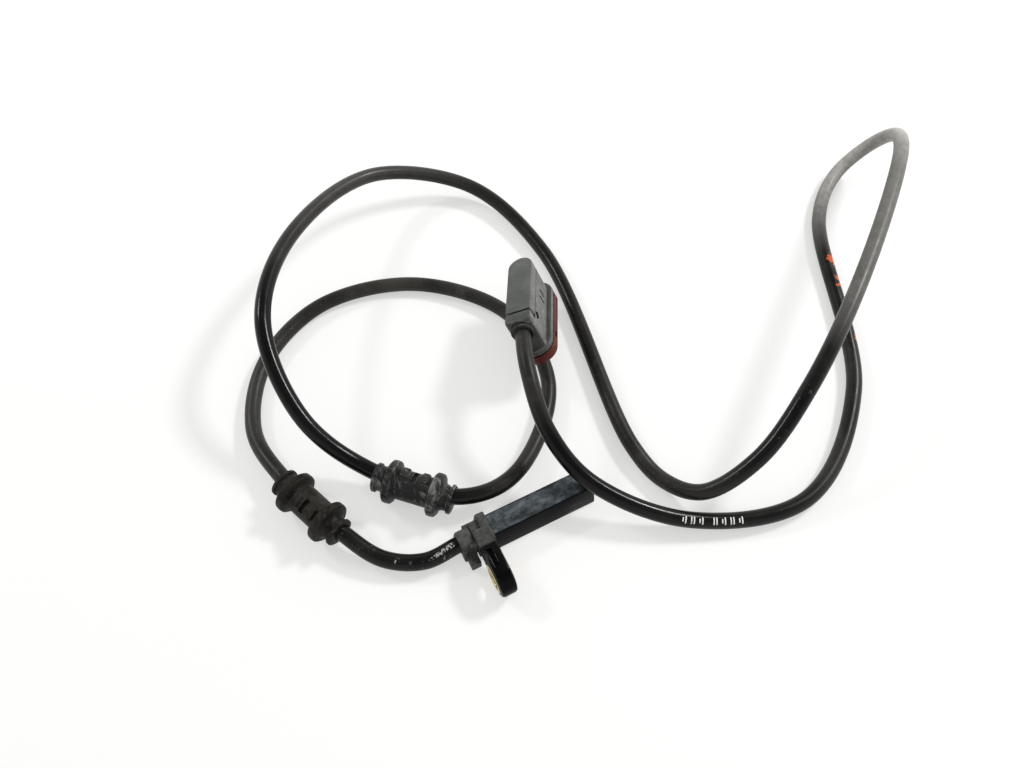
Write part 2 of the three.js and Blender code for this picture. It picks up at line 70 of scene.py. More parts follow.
CABLE_RADIUS = 0.0026
CABLE_SIDES = 32
CABLE_STEP = 0.0009
POINTS_PER_SPAN = 40
ROUTE = [
    (-0.0136, 0.0072, 0.0047), (-0.0226, 0.0072, 0.0047), (-0.0336, 0.0074, 0.0038),
    (-0.0447, 0.0136, 0.0043), (-0.0530, 0.0266, 0.0066), (-0.0628, 0.0502, 0.0066),
    (-0.0665, 0.0744, 0.0034), (-0.0543, 0.0988, 0.0029), (-0.0285, 0.1125, 0.0029),
    (0.0052, 0.1057, 0.0029), (0.0298, 0.0784, 0.0029), (0.0291, 0.0453, 0.0030),
    (0.0037, 0.0201, 0.0053), (-0.0153, 0.0196, 0.0077), (-0.0382, 0.0419, 0.0077),
    (-0.0502, 0.0615, 0.0190), (-0.0495, 0.0935, 0.0300), (-0.0288, 0.1265, 0.0280),
    (0.0095, 0.1505, 0.0170), (0.0430, 0.1387, 0.0063), (0.0549, 0.0981, 0.0032),
    (0.0424, 0.0126, 0.0033), (0.0451, -0.0031, 0.0035), (0.0520, -0.0129, 0.0080),
    (0.0690, -0.0138, 0.0175), (0.0916, -0.0040, 0.0290), (0.1330, 0.0229, 0.0360),
    (0.1832, 0.0623, 0.0330), (0.1933, 0.0743, 0.0225), (0.1911, 0.0799, 0.0120),
    (0.1800, 0.0790, 0.0044), (0.1597, 0.0635, 0.0030), (0.1216, -0.0036, 0.0030),
    (0.0823, -0.0285, 0.0030), (0.0448, -0.0181, 0.0048), (0.0214, 0.0039, 0.0127),
    (0.0158, 0.0220, 0.0200), (0.0184, 0.0409, 0.0264), (0.0241, 0.0556, 0.0253),
    (0.0274, 0.0615, 0.0239),
]


def smooth_route(points, per_span):
    """A centripetal curve through the points, with its first and last spans mirrored."""
    knots = [np.array(point) for point in points]
    knots = [2 * knots[0] - knots[1]] + knots + [2 * knots[-1] - knots[-2]]
    curve = []
    for index in range(1, len(knots) - 2):
        p0, p1, p2, p3 = knots[index - 1:index + 3]
        t1 = math.sqrt(np.linalg.norm(p1 - p0))
        t2 = t1 + math.sqrt(np.linalg.norm(p2 - p1))
        t3 = t2 + math.sqrt(np.linalg.norm(p3 - p2))
        for t in np.linspace(t1, t2, per_span, endpoint=False):
            a1 = (t1 - t) / t1 * p0 + t / t1 * p1
            a2 = (t2 - t) / (t2 - t1) * p1 + (t - t1) / (t2 - t1) * p2
            a3 = (t3 - t) / (t3 - t2) * p2 + (t - t2) / (t3 - t2) * p3
            b1 = (t2 - t) / t2 * a1 + t / t2 * a2
            b2 = (t3 - t) / (t3 - t1) * a2 + (t - t1) / (t3 - t1) * a3
            curve.append((t2 - t) / (t2 - t1) * b1 + (t - t1) / (t2 - t1) * b2)
    curve.append(knots[-2])
    return np.array(curve)


def even_steps(curve, step):
    """The same curve in equal steps, and the distance along it of each point."""
    lengths = np.linalg.norm(np.diff(curve, axis=0), axis=1)
    along = np.concatenate([[0.0], np.cumsum(lengths)])
    places = np.linspace(0.0, along[-1], int(along[-1] / step) + 1)
    points = np.stack([np.interp(places, along, curve[:, axis]) for axis in range(3)], axis=1)
    return points, places


def cable_frames(points):
    """A direction and two steady sideways directions at each point of the cable."""
    ahead = np.gradient(points, axis=0)
    ahead /= np.linalg.norm(ahead, axis=1)[:, None]
    side = np.cross(ahead[0], [0.0, 0.0, 1.0])
    side /= np.linalg.norm(side)
    sides = []
    for direction in ahead:
        side = side - direction * np.dot(side, direction)
        side /= np.linalg.norm(side)
        sides.append(side)
    sides = np.array(sides)
    return ahead, sides, np.cross(ahead, sides)


def cable_outward():
    """The outward direction at each corner of each ring of the cable."""
    angles = np.arange(CABLE_SIDES) * 2 * math.pi / CABLE_SIDES
    return (
        np.cos(angles)[None, :, None] * cable_side[:, None, :]
        + np.sin(angles)[None, :, None] * cable_up[:, None, :]
    )


cable_points, cable_along = even_steps(smooth_route(ROUTE, POINTS_PER_SPAN), CABLE_STEP)
cable_ahead, cable_side, cable_up = cable_frames(cable_points)
cable_corners = cable_outward()


def new_object(name, vertices, faces):
    mesh = bpy.data.meshes.new(name)
    mesh.from_pydata([tuple(map(float, vertex)) for vertex in vertices], [], faces)
    mesh.polygons.foreach_set("use_smooth", [True] * len(mesh.polygons))
    mesh.update()
    created = bpy.data.objects.new(name, mesh)
    scene.collection.objects.link(created)
    return created


def make_cable():
    """A round tube along the route, closed by a fan at each end."""
    rings = cable_points[:, None, :] + CABLE_RADIUS * cable_corners
    vertices = list(rings.reshape(-1, 3)) + [cable_points[0], cable_points[-1]]
    last_ring = (len(cable_points) - 1) * CABLE_SIDES
    first_tip, last_tip = len(vertices) - 2, len(vertices) - 1
    corners = [(corner, (corner + 1) % CABLE_SIDES) for corner in range(CABLE_SIDES)]
    faces = []
    for low in range(0, last_ring, CABLE_SIDES):
        high = low + CABLE_SIDES
        for corner, after in corners:
            faces.append((low + corner, low + after, high + after, high + corner))
    for corner, after in corners:
        faces.append((first_tip, after, corner))
        faces.append((last_tip, last_ring + corner, last_ring + after))
    return new_object("cable", vertices, faces)


cable = make_cable()
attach(cable, "root")
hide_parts("cable_jacket")

# Floor, lights and background

FLOOR_REACH = 3.0
FLOOR_PAPER = (0.93, 0.925, 0.91, 1.0)
FLOOR_GLOW = (1.0, 1.0, 0.99, 1.0)
FLOOR_GLOW_SHARE = 0.5
ROOM_WHITE = (1.0, 1.0, 1.0, 1.0)
ROOM_LIGHT = 0.62
# Sine of the height where the seen room starts and stops darkening, and how bright its ceiling is.
CEILING_STARTS = 0.47
CEILING_FULL = 0.8
CEILING_WHITE = 0.3


def node_tree(material):
    material.use_nodes = True
    tree = material.node_tree
    tree.nodes.clear()
    return tree


def seen_directly(tree):
    """1 for what the camera sees, also in metal or through glass."""
    path = tree.nodes.new("ShaderNodeLightPath")
    seen = tree.nodes.new("ShaderNodeMath")
    seen.operation = "ADD"
    shown = tree.nodes.new("ShaderNodeMath")
    shown.operation = "ADD"
    shown.use_clamp = True
    tree.links.new(path.outputs["Is Camera Ray"], seen.inputs[0])
    tree.links.new(path.outputs["Is Glossy Ray"], seen.inputs[1])
    tree.links.new(seen.outputs[0], shown.inputs[0])
    tree.links.new(path.outputs["Is Transmission Ray"], shown.inputs[1])
    return shown.outputs[0]


def make_floor():
    reach = FLOOR_REACH
    floor = new_object(
        "floor",
        [(-reach, -reach, 0.0), (reach, -reach, 0.0), (reach, reach, 0.0), (-reach, reach, 0.0)],
        [(0, 1, 2, 3)],
    )
    material = bpy.data.materials.new("floor_paper")
    tree = node_tree(material)
    output = tree.nodes.new("ShaderNodeOutputMaterial")
    paper = tree.nodes.new("ShaderNodeBsdfDiffuse")
    paper.inputs["Color"].default_value = FLOOR_PAPER
    white = tree.nodes.new("ShaderNodeEmission")
    white.inputs["Color"].default_value = FLOOR_GLOW
    mix = tree.nodes.new("ShaderNodeMixShader")
    amount = tree.nodes.new("ShaderNodeMath")
    amount.operation = "MULTIPLY"
    amount.inputs[1].default_value = FLOOR_GLOW_SHARE
    tree.links.new(seen_directly(tree), amount.inputs[0])
    tree.links.new(amount.outputs[0], mix.inputs[0])
    tree.links.new(paper.outputs[0], mix.inputs[1])
    tree.links.new(white.outputs[0], mix.inputs[2])
    tree.links.new(mix.outputs[0], output.inputs["Surface"])
    floor.data.materials.append(material)


def make_world():
    """An even light, seen as white round the horizon and darker overhead, as in a small studio."""
    world = bpy.data.worlds.new("room")
    scene.world = world
    tree = node_tree(world)
    output = tree.nodes.new("ShaderNodeOutputWorld")
    light = tree.nodes.new("ShaderNodeBackground")
    white = tree.nodes.new("ShaderNodeBackground")
    mix = tree.nodes.new("ShaderNodeMixShader")
    light.inputs["Color"].default_value = ROOM_WHITE
    light.inputs["Strength"].default_value = ROOM_LIGHT
    white.inputs["Color"].default_value = ROOM_WHITE
    toward = tree.nodes.new("ShaderNodeTexCoord")
    split = tree.nodes.new("ShaderNodeSeparateXYZ")
    ceiling = tree.nodes.new("ShaderNodeMapRange")
    ceiling.interpolation_type = "SMOOTHSTEP"
    ceiling.inputs["From Min"].default_value = CEILING_STARTS
    ceiling.inputs["From Max"].default_value = CEILING_FULL
    ceiling.inputs["To Min"].default_value = 1.0
    ceiling.inputs["To Max"].default_value = CEILING_WHITE
    tree.links.new(toward.outputs["Generated"], split.inputs[0])
    tree.links.new(split.outputs["Z"], ceiling.inputs["Value"])
    tree.links.new(ceiling.outputs[0], white.inputs["Strength"])
    tree.links.new(seen_directly(tree), mix.inputs[0])
    tree.links.new(light.outputs[0], mix.inputs[1])
    tree.links.new(white.outputs[0], mix.inputs[2])
    tree.links.new(mix.outputs[0], output.inputs["Surface"])


def area_light(name, place, target, size, power):
    data = bpy.data.lights.new(name, "AREA")
    data.shape = "RECTANGLE"
    data.size, data.size_y = size
    data.energy = power
    lamp = bpy.data.objects.new(name, data)
    lamp.location = place
    direction = Vector(target) - Vector(place)
    lamp.rotation_euler = direction.to_track_quat("-Z", "Y").to_euler()
    scene.collection.objects.link(lamp)


make_floor()
make_world()
area_light("key", place=(0.83, 0.14, 0.77), target=(0.05, 0.03, 0.0), size=(0.22, 0.13), power=7.4)
area_light("side", place=(-0.43, 0.70, 0.67), target=(0.05, 0.05, 0.0), size=(0.20, 0.08), power=2.2)

# Materials


class Surface:
    """A principled surface being put together, with short names for the nodes that all of them share."""

    def __init__(self, name, roughness=0.5, metallic=0.0, specular=0.5):
        self.material = bpy.data.materials.new(name)
        self.tree = node_tree(self.material)
        self.shader = self.add("ShaderNodeBsdfPrincipled")
        self.shader.inputs["Roughness"].default_value = roughness
        self.shader.inputs["Metallic"].default_value = metallic
        self.shader.inputs["Specular IOR Level"].default_value = specular
        output = self.add("ShaderNodeOutputMaterial")
        self.link(self.shader.outputs[0], output.inputs["Surface"])
        self.place = self.add("ShaderNodeTexCoord").outputs["Object"]

    def add(self, kind):
        return self.tree.nodes.new(kind)

    def link(self, source, target):
        self.tree.links.new(source, target)

    def noise(self, scale, detail=4.0, roughness=0.55, stretch=(1.0, 1.0, 1.0), twist=0.0):
        mapping = self.add("ShaderNodeMapping")
        mapping.inputs["Scale"].default_value = stretch
        self.link(self.place, mapping.inputs["Vector"])
        noise = self.add("ShaderNodeTexNoise")
        noise.inputs["Scale"].default_value = scale
        noise.inputs["Detail"].default_value = detail
        noise.inputs["Roughness"].default_value = roughness
        noise.inputs["Distortion"].default_value = twist
        self.link(mapping.outputs[0], noise.inputs["Vector"])
        return noise.outputs["Fac"]

    def ramp(self, value, low, high, out_low=0.0, out_high=1.0):
        ramp = self.add("ShaderNodeMapRange")
        ramp.interpolation_type = "SMOOTHSTEP"
        ramp.inputs["From Min"].default_value = low
        ramp.inputs["From Max"].default_value = high
        ramp.inputs["To Min"].default_value = out_low
        ramp.inputs["To Max"].default_value = out_high
        self.link(value, ramp.inputs["Value"])
        return ramp.outputs["Result"]

    def combine(self, operation, first, second):
        node = self.add("ShaderNodeMath")
        node.operation = operation
        for socket, value in zip(node.inputs, (first, second)):
            if isinstance(value, float):
                socket.default_value = value
            else:
                self.link(value, socket)
        return node.outputs[0]

    def times(self, first, *others):
        for other in others:
            first = self.combine("MULTIPLY", first, other)
        return first

    def plus(self, first, second):
        return self.combine("ADD", first, second)

    def blend(self, factor, first, second):
        node = self.add("ShaderNodeMix")
        node.data_type = "RGBA"
        self.link(factor, node.inputs["Factor"])
        for socket, value in ((node.inputs[6], first), (node.inputs[7], second)):
            if isinstance(value, tuple):
                socket.default_value = (*value, 1.0)
            else:
                self.link(value, socket)
        return node.outputs[2]

    def agreement(self, direction):
        """How well the plain surface faces a direction, which is a socket or a fixed vector."""
        plain = self.add("ShaderNodeNewGeometry")
        dot = self.add("ShaderNodeVectorMath")
        dot.operation = "DOT_PRODUCT"
        self.link(plain.outputs["Normal"], dot.inputs[0])
        if isinstance(direction, tuple):
            dot.inputs[1].default_value = Vector(direction).normalized()
        else:
            self.link(direction, dot.inputs[1])
        return dot.outputs["Value"]

    def edges(self, radius):
        """1 on sharp convex and concave edges, 0 on flat places."""
        soft = self.add("ShaderNodeBevel")
        soft.samples = 6
        soft.inputs["Radius"].default_value = radius
        return self.ramp(self.agreement(soft.outputs[0]), 0.995, 0.9)

    def facing(self, direction, low, high):
        return self.ramp(self.agreement(direction), low, high)

    def facing_up(self, low=0.2, high=0.95):
        return self.facing((0.0, 0.0, 1.0), low, high)

    def between(self, axis, low, high, out_low=0.0, out_high=1.0):
        """A soft step along one axis of the frame."""
        split = self.add("ShaderNodeSeparateXYZ")
        self.link(self.place, split.inputs[0])
        return self.ramp(split.outputs[axis], low, high, out_low, out_high)

    def painted_hollow_shade(self, reach):
        """Painted shade: 1 in slots, seams and corners, also where other parts come close, 0 in the open."""
        near = self.add("ShaderNodeAmbientOcclusion")
        near.samples = 8
        near.only_local = False
        near.inputs["Distance"].default_value = reach
        return self.ramp(near.outputs["AO"], 0.75, 0.25)

    def value(self, name):
        attribute = self.add("ShaderNodeAttribute")
        attribute.attribute_name = name
        return attribute.outputs["Fac"]

    def bump(self, layers):
        normal = None
        for height, depth in layers:
            bump = self.add("ShaderNodeBump")
            bump.inputs["Distance"].default_value = depth
            bump.inputs["Strength"].default_value = 1.0
            self.link(height, bump.inputs["Height"])
            if normal is not None:
                self.link(normal, bump.inputs["Normal"])
            normal = bump.outputs[0]
        self.link(normal, self.shader.inputs["Normal"])

    def color(self, source):
        self.link(source, self.shader.inputs["Base Color"])

    def roughness(self, source):
        self.link(source, self.shader.inputs["Roughness"])


SCRATCH_DEPTH = 0.00001
# Colour of the painted shade in slots, seams and corners.
PAINTED_SHADE_BLACK = (0.002, 0.002, 0.002)


def scratches_on(skin):
    """Fine scratches that run along the frame's X and Y."""
    along_x = skin.ramp(skin.noise(420.0, 3.0, 0.7, (0.08, 1.0, 1.0), 0.4), 0.66, 0.72)
    along_y = skin.ramp(skin.noise(380.0, 3.0, 0.7, (1.0, 0.1, 1.0), 0.5), 0.68, 0.74)
    return skin.combine("MAXIMUM", along_x, along_y)


def dust_on(skin):
    """Dust that settles in patches, thicker on what faces up."""
    above = skin.plus(skin.times(skin.facing_up(), 0.6), 0.4)
    speckle = skin.ramp(skin.noise(700.0, 6.0, 0.7), 0.42, 0.72)
    return skin.times(above, speckle, skin.ramp(skin.noise(60.0, 3.0), 0.3, 0.7))


def smears_on(skin):
    """Wiped streaks on what faces up."""
    wiped = skin.ramp(skin.noise(230.0, 5.0, 0.68, (1.0, 0.45, 1.0), 1.2), 0.5, 0.66)
    return skin.times(wiped, skin.facing_up(0.0, 0.6))


def no_zones(skin):
    return ()


def moulded(
    name, dark, light, worn, dust, dustiness, gloss, grain, grain_depth, wear,
    edge=0.00035, shade_reach=0.0016, smears=0.0, specular=0.22, zones=no_zones,
):
    """Moulded plastic or rubber: grain, patchy colour, rubbed edges, fine scratches, settled dust
    and painted shade in recesses.

    zones(skin) gives each patch that differs: two colours, how much of it shows and what it adds to the
    roughness; on the head, its neck and the connector these patches are painted light. edge and shade_reach
    are the widths of the rubbed edges and of the painted shade in seams.
    """
    skin = Surface(name, specular=specular)
    color = skin.blend(skin.ramp(skin.noise(90.0, 5.0), 0.35, 0.7), dark, light)
    scratches = skin.times(scratches_on(skin), 0.45 * wear)
    color = skin.blend(scratches, color, worn)
    settled = skin.times(dust_on(skin), dustiness)
    color = skin.blend(settled, color, dust)
    rough = skin.ramp(skin.noise(300.0, 5.0), 0.3, 0.75, gloss - 0.06, gloss + 0.1)
    for low, high, amount, coarser in zones(skin):
        mottled = skin.ramp(skin.noise(500.0, 5.0), 0.3, 0.7)
        color = skin.blend(amount, color, skin.blend(mottled, low, high))
        rough = skin.plus(rough, skin.times(amount, coarser))
    if smears:
        color = skin.blend(skin.times(smears_on(skin), smears), color, worn)
    patchy = skin.ramp(skin.noise(260.0, 4.0), 0.42, 0.64)
    color = skin.blend(skin.times(skin.edges(edge), patchy, wear), color, worn)
    # Painted shade, near black, in slots, seams and corners.
    color = skin.blend(skin.times(skin.painted_hollow_shade(shade_reach), 0.9), color, PAINTED_SHADE_BLACK)
    skin.color(color)
    skin.roughness(skin.plus(rough, skin.times(settled, 0.35)))
    skin.bump([
        (skin.noise(grain, 4.0, 0.6), grain_depth),
        (skin.noise(grain * 0.2, 3.0), grain_depth * 1.5),
        (skin.times(scratches, -1.0), SCRATCH_DEPTH),
    ])
    return skin.material


def metal(name, bright, dull, stain, gloss):
    """Plated or tinned metal with turning marks and dull patches."""
    skin = Surface(name, metallic=1.0)
    color = skin.blend(skin.ramp(skin.noise(350.0, 5.0), 0.35, 0.7), bright, dull)
    marks = skin.ramp(skin.noise(600.0, 5.0, 0.7), 0.6, 0.75)
    skin.color(skin.blend(skin.times(marks, 0.6), color, stain))
    skin.roughness(skin.ramp(skin.noise(500.0, 4.0), 0.3, 0.7, gloss - 0.08, gloss + 0.15))
    skin.bump([(skin.noise(900.0, 3.0, 0.6, (1.0, 0.15, 0.15)), SCRATCH_DEPTH)])
    return skin.material


# Cable

# How dull, rubbed and chalky the cable is, part of the chalk being a painted sheen: distance along it in
# metres, and amount.
DULL = (
    (0.000, 0.10), (0.030, 0.15), (0.060, 0.45), (0.100, 0.85), (0.230, 0.95), (0.290, 0.70),
    (0.320, 0.10), (0.380, 0.05), (0.420, 0.15), (0.450, 0.50), (0.520, 0.60), (0.560, 0.20),
    (0.600, 0.45), (0.680, 0.75), (0.715, 0.15), (0.755, 0.20), (0.780, 0.60), (0.800, 0.90),
    (0.880, 0.90), (0.930, 0.70), (0.960, 0.20), (1.000, 0.65), (1.040, 0.75), (1.070, 0.15),
    (1.145, 0.05), (1.165, 0.80), (1.190, 0.90),
)
RUBBED = (
    (0.008, 0.0), (0.010, 0.7), (0.022, 0.5), (0.032, 0.2), (0.300, 0.1), (0.330, 0.0),
    (0.560, 0.06), (0.690, 0.15), (0.840, 0.2), (0.880, 0.1), (1.000, 0.0),
)
# Chalky fading, mostly at the top of the right loop, and a painted sheen along the strand that rises to it.
FADED_AND_SHEEN = (
    (0.430, 0.0), (0.470, 0.08), (0.510, 0.10), (0.550, 0.0), (0.755, 0.0), (0.780, 0.28),
    (0.810, 0.30), (0.838, 0.42), (0.852, 0.75), (0.866, 1.2), (0.884, 1.2), (0.900, 0.95),
    (0.918, 0.65), (0.934, 0.25), (0.946, 0.0),
)
# Flecks of orange paint: distance along the cable, length, and the direction they face.
PAINT_FLECKS = (
    (0.950, 0.0032, (0.1, -0.6, 0.7)), (0.9585, 0.0012, (0.6, -0.4, 0.6)),
    (0.9620, 0.0010, (0.5, -0.6, 0.6)), (0.9850, 0.0016, (0.8, -0.3, 0.4)),
)
# Short whitish scuffs across the cable where it enters the head, given in the same way; the first four run
# together into a painted highlight along its top.
SCUFFS_AND_GLINT = (
    (0.0108, 0.0012, (0.1, 0.0, 1.0)), (0.0126, 0.0014, (0.1, 0.0, 1.0)),
    (0.0146, 0.0012, (0.0, -0.1, 1.0)), (0.0166, 0.0007, (0.0, -0.2, 1.0)),
    (0.0184, 0.0006, (0.0, -0.3, 1.0)), (0.0204, 0.0005, (0.0, -0.4, 0.9)),
    (0.0240, 0.0005, (0.0, -0.3, 0.9)), (0.0290, 0.0005, (0.0, -0.3, 1.0)),
)


def add_cable_values(name, values):
    """A named number at each corner of the cable's rings and at its two end points."""
    attribute = cable.data.attributes.new(name, "FLOAT", "POINT")
    attribute.data.foreach_set("value", values.astype(np.float32))


def along_values(table):
    """Values from a table of places along the cable, the same all round it."""
    places, amounts = zip(*table)
    values = np.interp(cable_along, places, amounts)
    return np.concatenate([np.repeat(values, CABLE_SIDES), [values[0], values[-1]]])


def fleck_values(flecks, focus):
    """How strongly each corner of the cable carries a fleck: a high focus keeps flecks narrow."""
    values = np.zeros(cable_corners.shape[:2])
    for place, reach, facing in flecks:
        facing = np.array(facing) / np.linalg.norm(facing)
        near = np.exp(-((cable_along - place) / reach) ** 2)
        values += near[:, None] * np.clip(cable_corners @ facing, 0.0, 1.0) ** focus
    return np.concatenate([values.reshape(-1), [0.0, 0.0]])


def cable_material():
    """Black jacket: glossy where clean, brownish and matt where dull, chalky atop the right loop and painted
    with a sheen where it rises.
    """
    skin = Surface("cable_jacket_skin", specular=0.17)
    dull = skin.value("dull")
    patches = skin.ramp(skin.noise(45.0, 5.0), 0.3, 0.72)
    glossy_color = skin.blend(patches, (0.0014, 0.0014, 0.0016), (0.0034, 0.0034, 0.0036))
    dull_color = skin.blend(patches, (0.0130, 0.0125, 0.0110), (0.0460, 0.0440, 0.0385))
    color = skin.blend(dull, glossy_color, dull_color)
    streaks = skin.ramp(skin.noise(300.0, 4.0, 0.65), 0.55, 0.75)
    color = skin.blend(skin.times(streaks, skin.times(dull, 0.5)), color, (0.0750, 0.0660, 0.0540))
    chips = skin.ramp(skin.noise(900.0, 4.0, 0.7), 0.60, 0.66)
    patch = skin.ramp(skin.noise(210.0, 3.0), 0.46, 0.6)
    rubbed = skin.times(chips, patch, skin.value("rubbed"))
    color = skin.blend(rubbed, color, (0.3600, 0.3500, 0.3300))
    # Chalky fading and a painted sheen, both paler on what faces up.
    chalky = skin.ramp(skin.noise(400.0, 5.0, 0.7), 0.25, 0.7, 0.65, 1.0)
    upward = skin.plus(skin.times(skin.facing_up(0.1, 0.9), 0.5), 0.5)
    faded_and_sheen = skin.times(skin.value("faded_and_sheen"), chalky, upward)
    color = skin.blend(faded_and_sheen, color, (0.4200, 0.4080, 0.3820))
    # Whitish scuffs, and a painted highlight where the first four run together.
    broken = skin.ramp(skin.noise(1500.0, 3.0), 0.35, 0.55)
    scuffed_and_glint = skin.ramp(skin.times(skin.value("scuff_and_glint"), broken), 0.35, 0.7, 0.0, 0.8)
    color = skin.blend(scuffed_and_glint, color, (0.4600, 0.4500, 0.4300))
    ragged = skin.ramp(skin.noise(700.0, 4.0), 0.3, 0.7, -0.3, 0.3)
    paint = skin.ramp(skin.plus(skin.value("paint"), ragged), 0.42, 0.52)
    color = skin.blend(paint, color, (0.5200, 0.0900, 0.0250))
    skin.color(color)
    rough = skin.ramp(skin.noise(160.0, 5.0), 0.3, 0.7, 0.13, 0.22)
    rough = skin.plus(rough, skin.times(dull, 0.24))
    skin.roughness(skin.plus(rough, skin.times(rubbed, 0.3)))
    skin.bump([
        (skin.noise(70.0, 2.0), 0.00010),
        (skin.noise(500.0, 4.0, 0.6), 0.000008),
        (skin.times(rubbed, -1.0), 0.00002),
    ])
    return skin.material


add_cable_values("dull", along_values(DULL))
add_cable_values("rubbed", along_values(RUBBED))
add_cable_values("faded_and_sheen", along_values(FADED_AND_SHEEN))
add_cable_values("paint", fleck_values(PAINT_FLECKS, 2))
add_cable_values("scuff_and_glint", fleck_values(SCUFFS_AND_GLINT, 14))
cable.data.materials.append(cable_material())

# Looks of the imported pieces

# Soft steps on the head: where its collar, with painted grey light on top, ends along X, and where it ends
# along Y.
COLLAR_FRONT = (-0.0122, -0.0116)
COLLAR_SIDE = (0.0008, 0.0022)


def head_zones(skin):
    """A duller collar with painted grey light on its upward faces, and a painted bluish sheen along the top
    of the bar in front of it.
    """
    behind = skin.between("X", *COLLAR_FRONT, 1.0, 0.0)
    # Painted light: grey on the collar's upward faces, black on its sides.
    collar = skin.times(behind, skin.between("Y", *COLLAR_SIDE), skin.facing_up(-0.35, 0.5))
    ahead = skin.between("X", *COLLAR_FRONT)
    streaks = skin.ramp(skin.noise(260.0, 5.0, 0.6, (0.25, 1.0, 1.0)), 0.34, 0.62, 0.35, 1.0)
    # Painted sheen: bluish streaks along the upward top of the bar.
    sheen = skin.times(ahead, skin.facing_up(0.8, 0.99), streaks)
    return (
        ((0.0440, 0.0445, 0.0425), (0.0800, 0.0810, 0.0770), collar, 0.25),
        ((0.0450, 0.0530, 0.0580), (0.1250, 0.1420, 0.1530), sheen, 0.1),
    )


def painted_light_above(skin):
    """Painted light and shade: grey where it faces up, nearly black underneath."""
    return (((0.0480, 0.0475, 0.0440), (0.0900, 0.0880, 0.0820), skin.facing_up(-0.35, 0.5), 0.0),)


def painted_lit_side(skin):
    """Painted light: the connector's side towards +X, which the key light reaches, is paler."""
    side = skin.facing((0.85, -0.35, 0.4), 0.55, 0.95)
    side = skin.times(side, skin.ramp(skin.noise(120.0, 4.0), 0.3, 0.6, 0.45, 1.0))
    return (((0.1150, 0.1180, 0.1120), (0.1900, 0.1920, 0.1820), side, 0.05),)


# The pale rubbed edges of the housing are partly wear and partly a painted highlight along the top front
# edge.
housing_black = moulded(
    "housing_black", dark=(0.0022, 0.0023, 0.0025), light=(0.0055, 0.0056, 0.0060),
    worn=(0.190, 0.195, 0.195), dust=(0.120, 0.115, 0.100), dustiness=0.05, gloss=0.20,
    grain=2600.0, grain_depth=0.000004, wear=0.9, edge=0.0003, specular=0.035, zones=head_zones,
)
# The neck's plastic is nearly black; its grey top is painted light.
neck_grey = moulded(
    "neck_grey", dark=(0.0070, 0.0070, 0.0066), light=(0.0150, 0.0147, 0.0138),
    worn=(0.240, 0.235, 0.220), dust=(0.200, 0.190, 0.170), dustiness=0.22, gloss=0.50,
    grain=1500.0, grain_depth=0.000018, wear=0.7, specular=0.12, zones=painted_light_above,
)
plug_grey = moulded(
    "plug_grey", dark=(0.0520, 0.0560, 0.0530), light=(0.0820, 0.0870, 0.0820),
    worn=(0.330, 0.335, 0.320), dust=(0.240, 0.235, 0.215), dustiness=0.22, gloss=0.44,
    grain=1800.0, grain_depth=0.000012, wear=0.7, shade_reach=0.004, zones=painted_lit_side,
)
cover_grey = moulded(
    "cover_grey", dark=(0.0760, 0.0820, 0.0760), light=(0.1180, 0.1260, 0.1170),
    worn=(0.350, 0.355, 0.340), dust=(0.260, 0.255, 0.235), dustiness=0.25, gloss=0.46,
    grain=1800.0, grain_depth=0.000014, wear=0.7, shade_reach=0.003, zones=painted_lit_side,
)
collar_red = moulded(
    "collar_red", dark=(0.0650, 0.0090, 0.0045), light=(0.1150, 0.0190, 0.0085),
    worn=(0.320, 0.110, 0.070), dust=(0.130, 0.080, 0.060), dustiness=0.12, gloss=0.36,
    grain=1900.0, grain_depth=0.000008, wear=0.4,
)
rubber_brown = moulded(
    "rubber_brown", dark=(0.0062, 0.0056, 0.0048), light=(0.0165, 0.0146, 0.0118),
    worn=(0.150, 0.140, 0.122), dust=(0.170, 0.140, 0.105), dustiness=0.22, gloss=0.50,
    grain=1300.0, grain_depth=0.000022, wear=0.5, shade_reach=0.0022, smears=0.12, specular=0.12,
)
rubber_grey = moulded(
    "rubber_grey", dark=(0.0070, 0.0070, 0.0072), light=(0.0200, 0.0200, 0.0198),
    worn=(0.300, 0.298, 0.282), dust=(0.230, 0.225, 0.205), dustiness=0.30, gloss=0.40,
    grain=1300.0, grain_depth=0.000025, wear=0.8, edge=0.0004, shade_reach=0.0022, smears=0.55,
    specular=0.16,
)
rubber_black = moulded(
    "rubber_black", dark=(0.0160, 0.0160, 0.0165), light=(0.0330, 0.0330, 0.0330),
    worn=(0.160, 0.155, 0.145), dust=(0.180, 0.165, 0.140), dustiness=0.3, gloss=0.48,
    grain=1400.0, grain_depth=0.000015, wear=0.6,
)
seal_brown = moulded(
    "seal_brown", dark=(0.1500, 0.0380, 0.0200), light=(0.2300, 0.0650, 0.0320),
    worn=(0.360, 0.160, 0.100), dust=(0.200, 0.140, 0.100), dustiness=0.2, gloss=0.42,
    grain=1400.0, grain_depth=0.000010, wear=0.4,
)
lock_white = moulded(
    "lock_white", dark=(0.4200, 0.4000, 0.3500), light=(0.5200, 0.5000, 0.4500),
    worn=(0.620, 0.610, 0.580), dust=(0.300, 0.260, 0.200), dustiness=0.3, gloss=0.40,
    grain=1700.0, grain_depth=0.000008, wear=0.4,
)
carrier_green = moulded(
    "carrier_green", dark=(0.0300, 0.0700, 0.0450), light=(0.0500, 0.1050, 0.0700),
    worn=(0.200, 0.260, 0.210), dust=(0.180, 0.180, 0.150), dustiness=0.15, gloss=0.42,
    grain=1700.0, grain_depth=0.000008, wear=0.4,
)
